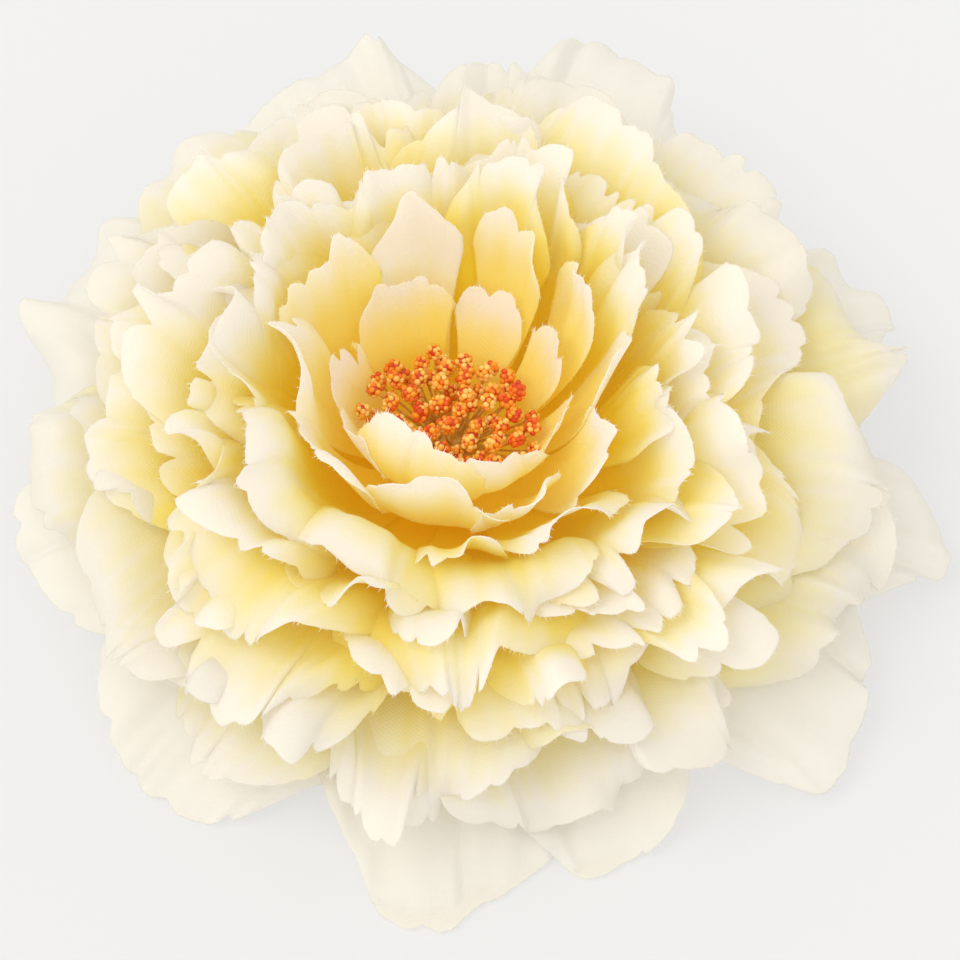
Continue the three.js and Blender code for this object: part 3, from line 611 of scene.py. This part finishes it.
# %% [markdown]
# ## Loose threads
# A die cuts the silk without sealing it, so short thread ends stand out of every edge. They could
# be hairs, but real geometry stays in an exported model. A small tree puts a three-sided spike on
# a random part of the edge points, each along its own way out, turned a little by chance.

# %% A tree that frays the cut edges
SWAY, LENGTHS = 0.6, (0.3, 1.4)


def chance(tree, low, high, seed):
    return add(tree, "FunctionNodeRandomValue", {2: low, 3: high, "Seed": seed},
               data_type="FLOAT").outputs[1]


def finished(tree, start, end, made):
    """End a tree of real geometry: give it the material and put it out."""
    coated = add(tree, "GeometryNodeSetMaterial",
                 {0: made.outputs[0], "Material": start.outputs["Material"]})
    tree.links.new(coated.outputs[0], end.inputs[0])
    return tree


def fray_tree():
    tree, start, end = new_tree(
        "GeometryNodeTree", "loose_threads",
        [("Geometry", "NodeSocketGeometry", None), ("Share", "NodeSocketFloat", 0.7),
         ("Length", "NodeSocketFloat", 0.0007), ("Thickness", "NodeSocketFloat", 0.00005),
         ("Seed", "NodeSocketInt", 0), ("Material", "NodeSocketMaterial", None)],
        [("Geometry", "NodeSocketGeometry")])
    on_edge = add(tree, "GeometryNodeInputNamedAttribute", {"Name": "on_edge"}, data_type="FLOAT")
    leaving = add(tree, "GeometryNodeInputNamedAttribute", {"Name": "leaving"},
                  data_type="FLOAT_VECTOR")
    chosen = add(tree, "FunctionNodeRandomValue",
                 {"Probability": start.outputs["Share"], "Seed": start.outputs["Seed"]},
                 data_type="BOOLEAN")
    picked = calculate(tree, "MULTIPLY", on_edge.outputs[0], chosen.outputs[3])
    turned = add(tree, "FunctionNodeAlignRotationToVector", {"Vector": leaving.outputs[0]},
                 axis="Z")
    sway = add(tree, "FunctionNodeRandomValue",
               {0: [-SWAY] * 3, 1: [SWAY] * 3, "Seed": start.outputs["Seed"]},
               data_type="FLOAT_VECTOR")
    swayed = add(tree, "FunctionNodeRotateRotation",
                 {0: turned.outputs[0], 1: sway.outputs[0]}, rotation_space="LOCAL")
    size = chance(tree, *LENGTHS, start.outputs["Seed"])
    spike = add(tree, "GeometryNodeMeshCone",
                {"Vertices": 3, "Radius Bottom": start.outputs["Thickness"],
                 "Depth": start.outputs["Length"]}, fill_type="NONE")
    threads = add(tree, "GeometryNodeInstanceOnPoints",
                  {"Points": start.outputs["Geometry"], "Selection": picked,
                   "Instance": spike.outputs[0], "Rotation": swayed.outputs[0], "Scale": size})
    real = add(tree, "GeometryNodeRealizeInstances", {0: threads.outputs[0]})
    joined = add(tree, "GeometryNodeJoinGeometry", {0: real.outputs[0]})
    tree.links.new(start.outputs["Geometry"], joined.inputs[0])
    return finished(tree, start, end, joined)


def add_tree(piece, tree, values):
    """Put a tree on a piece as a modifier, with these input values."""
    modifier = piece.modifiers.new(tree.name, "NODES")
    modifier.node_group = tree
    for item in tree.interface.items_tree:
        if item.in_out == "INPUT" and item.name in values:
            modifier[item.identifier] = values[item.name]


def settled(piece):
    """Turn what the modifiers make into the piece's own plain mesh."""
    bpy.context.view_layer.update()
    made = piece.evaluated_get(bpy.context.evaluated_depsgraph_get())
    piece.data = bpy.data.meshes.new_from_object(made)
    piece.modifiers.clear()
    return piece


def new_object(name, data):
    made = bpy.data.objects.new(name, data)
    bpy.context.scene.collection.objects.link(made)
    return made


def thicken(piece, thickness):
    wall = piece.modifiers.new("wall", "SOLIDIFY")
    wall.thickness, wall.offset = thickness * MM, 0


LOOSE_THREADS = fray_tree()

# %% [markdown]
# ## Dress the eight layers
# Solidify gives each sheet its thickness, the tree frays its edges, and the result takes the place
# of the layer's plain solid.

# %% The silk petals
CLOTH_THICKNESS = 0.15

for layer in LAYERS + TUCKED:
    material = SILKS[math.floor(layer["number"])]
    kind = "_silk" if layer in LAYERS else "_tucked"
    piece = new_object(layer["node"] + kind, layer_mesh(layer))
    thicken(piece, CLOTH_THICKNESS)
    add_tree(piece, LOOSE_THREADS, {"Seed": round(2 * layer["number"]), "Material": material})
    settled(piece)
    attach(piece, "root")
    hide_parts(layer["node"])
    print(piece.name, len(piece.data.polygons), "faces")

# %% [markdown]
# ## The stamens
# A stamen is a thread with an anther: a cluster of glass-like beads that is dipped in colour. The
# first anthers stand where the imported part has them, on a low dome that is wider than it is deep.
# A second, lower set fills the tuft between them, as on the real flower, where the threads differ
# in length.

# %% Where the stamens stand
ANTHER_COUNT, LOWER_COUNT, LOWER_BY, LOWER_TURN = 42, 34, 1.5, 2.1
GOLDEN_ANGLE = math.pi * (3 - math.sqrt(5))
RING_R, TOP_Z, DOME_DROP, UNEVEN = 12.2, 36, 1.4, 1
STRETCH_X, STRETCH_Y, SKEW = 1.12, 0.93, 0.1
ANTHER_HALF_HEIGHT, ANTHER_TILT = 1.35 * 1.3, 1.0
DISC_R, DISC_THICKNESS, SPREAD_AT_DISC, SUNK_BY = 4.4, 1.4, 0.27, 0.3
disc_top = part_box("stamens")[0].z / MM + DISC_THICKNESS


def stamen(i):
    """The anther's middle, and the thread's root on the disc, of stamen i."""
    lower = i >= ANTHER_COUNT
    place = i - ANTHER_COUNT if lower else i
    share = math.sqrt((place + 0.5) / (LOWER_COUNT if lower else ANTHER_COUNT))
    turn = place * GOLDEN_ANGLE + (LOWER_TURN if lower else 0)
    x = STRETCH_X * RING_R * share * math.cos(turn)
    y = STRETCH_Y * RING_R * share * math.sin(turn) - SKEW * x
    z = TOP_Z - DOME_DROP * share**2 + UNEVEN * mix(-1, 1, draw(i, 7)) - ANTHER_HALF_HEIGHT
    z = z - (LOWER_BY if lower else 0)
    return (Vector((x, y, z)),
            Vector((SPREAD_AT_DISC * x, SPREAD_AT_DISC * y, disc_top - SUNK_BY)))


STAMENS = [stamen(i) for i in range(ANTHER_COUNT + LOWER_COUNT)]
print(len(STAMENS), "stamens on a disc at", round(disc_top, 1), "mm")

# %% [markdown]
# Anthers, discs and cups are all turned shapes, so one helper spins a profile. It could be
# Blender's own ball or Spin, but those may number their corners differently from run to run, and
# the scatter of the beads follows the corners. Here they always come in the same order.

# %% Turn a profile round the axis
def turned(profile, sides, rib=lambda azimuth, z: 0):
    """Points in metres, and faces, from (radius, height) in mm that go from axis to axis."""
    points, rings, faces = [], [], []
    for r, z in profile:
        if r == 0:
            rings.append([len(points)] * sides)
            points.append((0, 0, z * MM))
            continue
        rings.append(range(len(points), len(points) + sides))
        for k in range(sides):
            azimuth = 2 * math.pi * k / sides
            reach = (r + rib(azimuth, z)) * MM
            points.append((reach * math.cos(azimuth), reach * math.sin(azimuth), z * MM))
    for lower, upper in zip(rings, rings[1:]):
        for k in range(sides):
            corners = [lower[k], lower[k - sides + 1], upper[k - sides + 1], upper[k]]
            faces.append(list(dict.fromkeys(corners)))
    return points, faces


def plain_mesh(name, points, faces):
    mesh = bpy.data.meshes.new(name)
    mesh.from_pydata(points, [], faces)
    return mesh


# %% [markdown]
# Each anther starts as a small egg. The tree scatters beads over the eggs, never closer than their
# spacing, and gives each bead a tint of its own, mixed with that of its anther, so whole clusters
# differ too. The beads keep to eight by five segments, because there are over a thousand of them.

# %% A tree that beads the anthers
BEAD_SIZES, BEAD_TINTS, ANTHER_TINT, CROWD = (0.8, 1.15), (0.1, 0.65), 0.35, 2e7


def bead_tree():
    tree, start, end = new_tree(
        "GeometryNodeTree", "anther_beads",
        [("Geometry", "NodeSocketGeometry", None), ("Bead Radius", "NodeSocketFloat", 0.00046),
         ("Spacing", "NodeSocketFloat", 0.00066), ("Seed", "NodeSocketInt", 3),
         ("Material", "NodeSocketMaterial", None)],
        [("Geometry", "NodeSocketGeometry")])
    points = add(tree, "GeometryNodeDistributePointsOnFaces",
                 {"Mesh": start.outputs["Geometry"], "Distance Min": start.outputs["Spacing"],
                  "Density Max": CROWD, "Seed": start.outputs["Seed"]},
                 distribute_method="POISSON")
    bead = add(tree, "GeometryNodeMeshUVSphere",
               {"Segments": 8, "Rings": 5, "Radius": start.outputs["Bead Radius"]})
    beads = add(tree, "GeometryNodeInstanceOnPoints",
                {"Points": points.outputs["Points"], "Instance": bead.outputs[0],
                 "Scale": chance(tree, *BEAD_SIZES, start.outputs["Seed"])})
    anther = add(tree, "GeometryNodeInputNamedAttribute", {"Name": "anther"}, data_type="FLOAT")
    shared = calculate(tree, "MULTIPLY", anther.outputs[0], ANTHER_TINT)
    tint = calculate(tree, "ADD", chance(tree, *BEAD_TINTS, 11), shared)
    tinted = add(tree, "GeometryNodeStoreNamedAttribute",
                 {"Geometry": beads.outputs[0], "Name": "tint", "Value": tint},
                 data_type="FLOAT", domain="INSTANCE")
    real = add(tree, "GeometryNodeRealizeInstances", {0: tinted.outputs[0]})
    joined = add(tree, "GeometryNodeJoinGeometry", {0: real.outputs[0]})
    tree.links.new(start.outputs["Geometry"], joined.inputs[0])
    smooth = add(tree, "GeometryNodeSetShadeSmooth", {0: joined.outputs[0]})
    return finished(tree, start, end, smooth)


# %% [markdown]
# The dip runs from deep red at the core to pale amber. One ramp holds all its tones, and each bead
# reads its own tint there, moved by a fine noise, so a bead isn't one flat colour. A faint orange
# emission adds a painted glow, so the beads look lit from within.

# %% The beads' finish
DIP = [(0.0, (0.58, 0.015, 0.004)), (0.24, (0.8, 0.05, 0.006)), (0.38, (0.92, 0.2, 0.008)),
       (0.54, (0.97, 0.4, 0.02)), (0.78, (0.99, 0.66, 0.16))]


def beads_material():
    material, tree, output = new_material("amber_beads")
    tint = add(tree, "ShaderNodeAttribute", attribute_name="tint").outputs["Fac"]
    place = add(tree, "ShaderNodeTexCoord").outputs["Object"]
    centred = calculate(tree, "SUBTRACT", noise(tree, place, 900, 2), 0.5)
    mixed = calculate(tree, "ADD", tint, calculate(tree, "MULTIPLY", centred, 0.5))
    # the faint orange emission is a painted glow, painted light in the beads
    bead = add(tree, "ShaderNodeBsdfPrincipled",
               {"Base Color": ramp(tree, mixed, DIP), "Roughness": 0.25, "Specular IOR Level": 0.4,
                "Emission Color": (1, 0.3, 0.02, 1), "Emission Strength": 0.07})
    tree.links.new(bead.outputs[0], output.inputs["Surface"])
    return material


# %% The anthers
EGG_R, EGG_HALF_HEIGHT, EGG_SIDES, EGG_RINGS = 0.95, 1.4, 8, 6
EGG = [(EGG_R * math.sin(math.pi * n / EGG_RINGS) if 0 < n < EGG_RINGS else 0,
        -EGG_HALF_HEIGHT * math.cos(math.pi * n / EGG_RINGS)) for n in range(EGG_RINGS + 1)]

points, faces, anther_of = [], [], []
egg_points, egg_faces = turned(EGG, EGG_SIDES)
for i, (middle, _) in enumerate(STAMENS):
    turn = (Matrix.Rotation(2 * math.pi * draw(i, 9), 4, "Z")
            @ Matrix.Rotation(mix(-ANTHER_TILT, ANTHER_TILT, draw(i, 8)), 4, "X"))
    to_place = Matrix.Translation(middle * MM) @ turn
    faces += [[len(points) + corner for corner in face] for face in egg_faces]
    points += [to_place @ Vector(point) for point in egg_points]
    anther_of += [draw(i, 10)] * len(egg_points)
eggs = plain_mesh("anther_beads", points, faces)
store(eggs, "anther", "FLOAT", [anther_of])
anthers = new_object("anther_beads", eggs)
add_tree(anthers, bead_tree(), {"Material": beads_material()})
settled(anthers)
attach(anthers, "root")
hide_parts("stamens")
print("anthers:", len(anthers.data.polygons), "faces")

# %% [markdown]
# The threads follow paths, so a tree sweeps a small circle along polylines. Each thread leaves
# the disc steeply, bows outwards and ends in its anther.

# %% A tree that sweeps a thread along its path
def thread_tree():
    tree, start, end = new_tree(
        "GeometryNodeTree", "swept_threads",
        [("Geometry", "NodeSocketGeometry", None), ("Radius", "NodeSocketFloat", 0.0002),
         ("Sides", "NodeSocketInt", 6), ("Material", "NodeSocketMaterial", None)],
        [("Geometry", "NodeSocketGeometry")])
    paths = add(tree, "GeometryNodeMeshToCurve", {0: start.outputs["Geometry"]})
    ring = add(tree, "GeometryNodeCurvePrimitiveCircle",
               {"Resolution": start.outputs["Sides"], "Radius": start.outputs["Radius"]})
    swept = add(tree, "GeometryNodeCurveToMesh",
                {"Curve": paths.outputs[0], "Profile Curve": ring.outputs[0], "Fill Caps": True})
    smooth = add(tree, "GeometryNodeSetShadeSmooth", {0: swept.outputs[0]})
    real = add(tree, "GeometryNodeRealizeInstances", {0: smooth.outputs[0]})
    return finished(tree, start, end, real)


# %% The stamens' threads
def thread_material():
    material, tree, output = new_material("golden_thread")
    place = add(tree, "ShaderNodeTexCoord").outputs["Object"]
    colour = ramp(tree, noise(tree, place, 700, 3),
                  [(0.35, (0.86, 0.45, 0.05)), (0.6, (0.95, 0.68, 0.14))])
    thread = add(tree, "ShaderNodeBsdfPrincipled", {"Base Color": colour, "Roughness": 0.6})
    tree.links.new(thread.outputs[0], output.inputs["Surface"])
    return material


THREAD_STEPS, THREAD_BOW = 7, 1.6
points, edges = [], []
for i, (middle, root) in enumerate(STAMENS):
    outwards = Vector((middle.x, middle.y, 0)).normalized()
    for step in range(THREAD_STEPS):
        t = step / (THREAD_STEPS - 1)
        bow = outwards * THREAD_BOW * math.sin(math.pi * t) * mix(-0.2, 1, draw(i, 12))
        if step:
            edges.append((len(points) - 1, len(points)))
        points.append((root.lerp(middle, t) + bow) * MM)
paths = bpy.data.meshes.new("stamen_threads")
paths.from_pydata(points, edges, [])
threads = new_object("stamen_threads", paths)
golden = thread_material()
add_tree(threads, thread_tree(), {"Material": golden})
settled(threads)
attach(threads, "root")
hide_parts("stamens")
print("threads:", len(threads.data.polygons), "faces")

# %% [markdown]
# ## The moulded parts
# The threads stand in a small disc, which closes the middle of the bloom. It is turned too, and
# it has the gold of the threads.

# %% The disc that holds the threads
DISC_SIDES = 28
disc_z = disc_top - DISC_THICKNESS
disc = new_object("stamen_disc", plain_mesh("stamen_disc", *turned(
    [(0, disc_z), (DISC_R, disc_z), (DISC_R, disc_top), (0, disc_top)], DISC_SIDES)))
disc.data.materials.append(golden)
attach(disc, "root")
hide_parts("stamens")

# %% [markdown]
# Moulded green plastic isn't one flat green. It is a little darker in some places, where the melt
# met, it has a fine leathery grain from the mould, and its gloss is uneven.

# %% Moulded plastic
GRAIN_HEIGHT = 0.00008


def moulded(name, dark, light, roughness):
    material, tree, output = new_material(name)
    place = add(tree, "ShaderNodeTexCoord").outputs["Object"]
    flow, grain = noise(tree, place, 120, 3), noise(tree, place, 2500, 2)
    colour = ramp(tree, flow, [(0.3, dark), (0.7, light)])
    bump = add(tree, "ShaderNodeBump",
               {"Strength": 0.3, "Distance": GRAIN_HEIGHT, "Height": grain})
    gloss = calculate(tree, "MULTIPLY", flow, 0.2)
    gloss = calculate(tree, "ADD", gloss, roughness - 0.1)
    plastic = add(tree, "ShaderNodeBsdfPrincipled",
                  {"Base Color": colour, "Normal": bump.outputs[0], "Roughness": gloss})
    tree.links.new(plastic.outputs[0], output.inputs["Surface"])
    return material


LEAF_GREEN = moulded("leaf_green_plastic", (0.09, 0.19, 0.04), (0.17, 0.32, 0.08), 0.5)

# %% [markdown]
# ## The calyx
# The cup closes the bloom from below. Its foot is flat, its waist narrow, and its wall flares to
# the rim under the outermost petals. Five sepals spread from the rim, longest at their middle
# rib, with side veins pressed into them.

# %% The cup
CUP = [(0, 0), (7.7, 0), (8, 0.3), (8, 0.9), (7.6, 1.4), (6.7, 2.2), (6.25, 3.0), (6.2, 3.6),
       (6.5, 4.6), (7.0, 5.6), (7.7, 6.7), (8.5, 7.8), (9.3, 8.8), (10.1, 9.8), (10.7, 10.7),
       (11.2, 11.6), (11.5, 12.4), (11.3, 12.9), (10.7, 13.2), (2.1, 13.2), (2.1, 4.7), (0, 4.7)]
RIB_COUNT, RIB_HEIGHT, RIBS_FROM, RIBS_TO, CUP_SIDES = 20, 0.12, 3.4, 12.4, 120


def cup_rib(azimuth, z):
    inside = RIBS_FROM < z < RIBS_TO
    return RIB_HEIGHT * math.cos(RIB_COUNT * azimuth) if inside else 0


cup = plain_mesh("calyx_cup", *turned(CUP, CUP_SIDES, cup_rib))

# %% The sepals
SEPAL_COUNT, SEPAL_LENGTH, SEPAL_WIDTH, SEPAL_THICKNESS = 5, 20, 12.5, 0.9
SEPAL_ROOT_R, SEPAL_ROOT_Z, SEPAL_DROOP, SEPAL_CUPPED = 8.5, 10.8, 1.5, 0.6
SEPAL_ROWS, SEPAL_COLUMNS, FIRST_SEPAL = 28, 24, -54
RIB_DEPTH, RIB_HALF_WIDTH, VEIN_DEPTH, VEIN_PITCH, VEIN_SLANT = 0.25, 0.5, 0.1, 3, 0.9
FALL_BACK, FALL_FRONT, FALL_TOWARDS = math.radians(2), math.radians(24), math.radians(-80)


def sepal_grid(azimuth):
    up, across = np.meshgrid(np.linspace(0, 1, SEPAL_ROWS + 1),
                             np.linspace(-1, 1, SEPAL_COLUMNS + 1), indexing="ij")
    fall = mix(FALL_BACK, FALL_FRONT, (1 + math.cos(azimuth - FALL_TOWARDS)) / 2)
    along = SEPAL_LENGTH * up * (1 - 0.12 * across**2)
    side = across * (SEPAL_WIDTH / 2 * np.sqrt(1 - up**2.6) + 0.5)
    r = SEPAL_ROOT_R + along * math.cos(fall)
    z = SEPAL_ROOT_Z - along * math.sin(fall) + SEPAL_CUPPED * across**2 - SEPAL_DROOP * up**3
    middle_rib = RIB_DEPTH * np.exp(-((side / RIB_HALF_WIDTH) ** 2)) * (1 - up)
    slanted = along - VEIN_SLANT * np.abs(side)
    side_veins = VEIN_DEPTH * np.abs(np.cos(math.pi * slanted / VEIN_PITCH)) ** 8
    z = z - middle_rib - side_veins * (1 - across**2)
    x = r * math.cos(azimuth) - side * math.sin(azimuth)
    y = r * math.sin(azimuth) + side * math.cos(azimuth)
    return np.stack([x, y, z], -1)


points, faces = [], []
for k in range(SEPAL_COUNT):
    grid = sepal_grid(math.radians(FIRST_SEPAL + 360 / SEPAL_COUNT * k))
    for row in range(SEPAL_ROWS):
        near = len(points) + row * (SEPAL_COLUMNS + 1)
        far = near + SEPAL_COLUMNS + 1
        faces += [[near + j, far + j, far + j + 1, near + j + 1] for j in range(SEPAL_COLUMNS)]
    points += (grid * MM).reshape(-1, 3).tolist()
sepals = new_object("calyx_sepals", plain_mesh("calyx_sepals", points, faces))
thicken(sepals, SEPAL_THICKNESS)
settled(sepals)

for piece in (sepals, new_object("calyx_cup", cup)):
    piece.data.polygons.foreach_set("use_smooth", [True] * len(piece.data.polygons))
    piece.data.materials.append(LEAF_GREEN)
    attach(piece, "root")
    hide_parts("calyx")
    print(piece.name, len(piece.data.polygons), "faces")

# %% [markdown]
# The post is hidden between the layers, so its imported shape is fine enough. It only gets a finish.

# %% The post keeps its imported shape
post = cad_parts["core_post"]
post.data.materials.clear()
post.data.materials.append(moulded("post_plastic", (0.08, 0.15, 0.04), (0.13, 0.22, 0.07), 0.55))

# %% [markdown]
# ## The studio
# White flowers are shot on white with light from all round, so that no shadow turns grey. The
# floor is pale and faintly lit by itself, like paper on a light table, and the sky is even. Two
# large soft lamps, one at the upper left and one in front, give the petals their form.

# %% The floor
FLOOR_HALF, PAPER_GREY, PAPER_GLOW = 3.0, 0.4, 0.49

scene = bpy.context.scene
mesh = bpy.data.meshes.new("floor")
mesh.from_pydata([(x * FLOOR_HALF, y * FLOOR_HALF, 0)
                  for x, y in ((-1, -1), (1, -1), (1, 1), (-1, 1))], [], [(0, 1, 2, 3)])
floor = new_object("floor", mesh)
pale, tree, output = new_material("pale_floor")
paper = add(tree, "ShaderNodeBsdfPrincipled",
            {"Base Color": (*[PAPER_GREY] * 3, 1), "Roughness": 0.9,
             "Emission Color": (1, 1, 1, 1), "Emission Strength": PAPER_GLOW})
tree.links.new(paper.outputs[0], output.inputs["Surface"])
mesh.materials.append(pale)

# %% The light
SKY_STRENGTH, WARM_LIGHT = 0.85, (1, 0.955, 0.88)
# strength, how wide the lamp looks, and its turn about x, y and z, in degrees
LAMPS = dict(upper_left=(0.78, 40, (4, -34, 0)), front_fill=(0.4, 60, (36, 0, 0)))

world = bpy.data.worlds.new("studio")
scene.world = world
world.use_nodes = True
sky = world.node_tree.nodes["Background"].inputs
sky["Color"].default_value, sky["Strength"].default_value = (1, 1, 1, 1), SKY_STRENGTH

for name, (energy, angle, turn) in LAMPS.items():
    lamp = bpy.data.lights.new(name, "SUN")
    lamp.energy, lamp.angle, lamp.color = energy, math.radians(angle), WARM_LIGHT
    new_object(name, lamp).rotation_euler = [math.radians(degrees) for degrees in turn]
print("lamps:", list(LAMPS))

# %% [markdown]
# The camera looks down at 60 degrees through a long lens, so the bloom keeps its round outline. A
# few bounces of light are enough, as the silk's painted glow stands for the rest, and the picture is
# toned without a film curve, which would turn the cream grey.

# %% The camera and the tones
CAMERA_TARGET = Vector((0.0045, -0.00664, 0.025))
CAMERA_ELEVATION, CAMERA_DISTANCE, CAMERA_LENS = math.radians(60), 0.48, 120
BOUNCES, EXPOSURE, GAMMA = 4, -0.12, 1.1

towards = Vector((0, -math.cos(CAMERA_ELEVATION), math.sin(CAMERA_ELEVATION)))
camera = bpy.data.cameras.new("camera")
camera.lens, camera.sensor_width = CAMERA_LENS, 36
camera.clip_start = 0.01
scene.camera = new_object("camera", camera)
scene.camera.location = CAMERA_TARGET + towards * CAMERA_DISTANCE
scene.camera.rotation_euler = (-towards).to_track_quat("-Z", "Y").to_euler()
scene.view_settings.view_transform = "Standard"
scene.view_settings.exposure, scene.view_settings.gamma = EXPOSURE, GAMMA
for kind in ("max", "diffuse", "transmission"):
    setattr(scene.cycles, kind + "_bounces", BOUNCES)
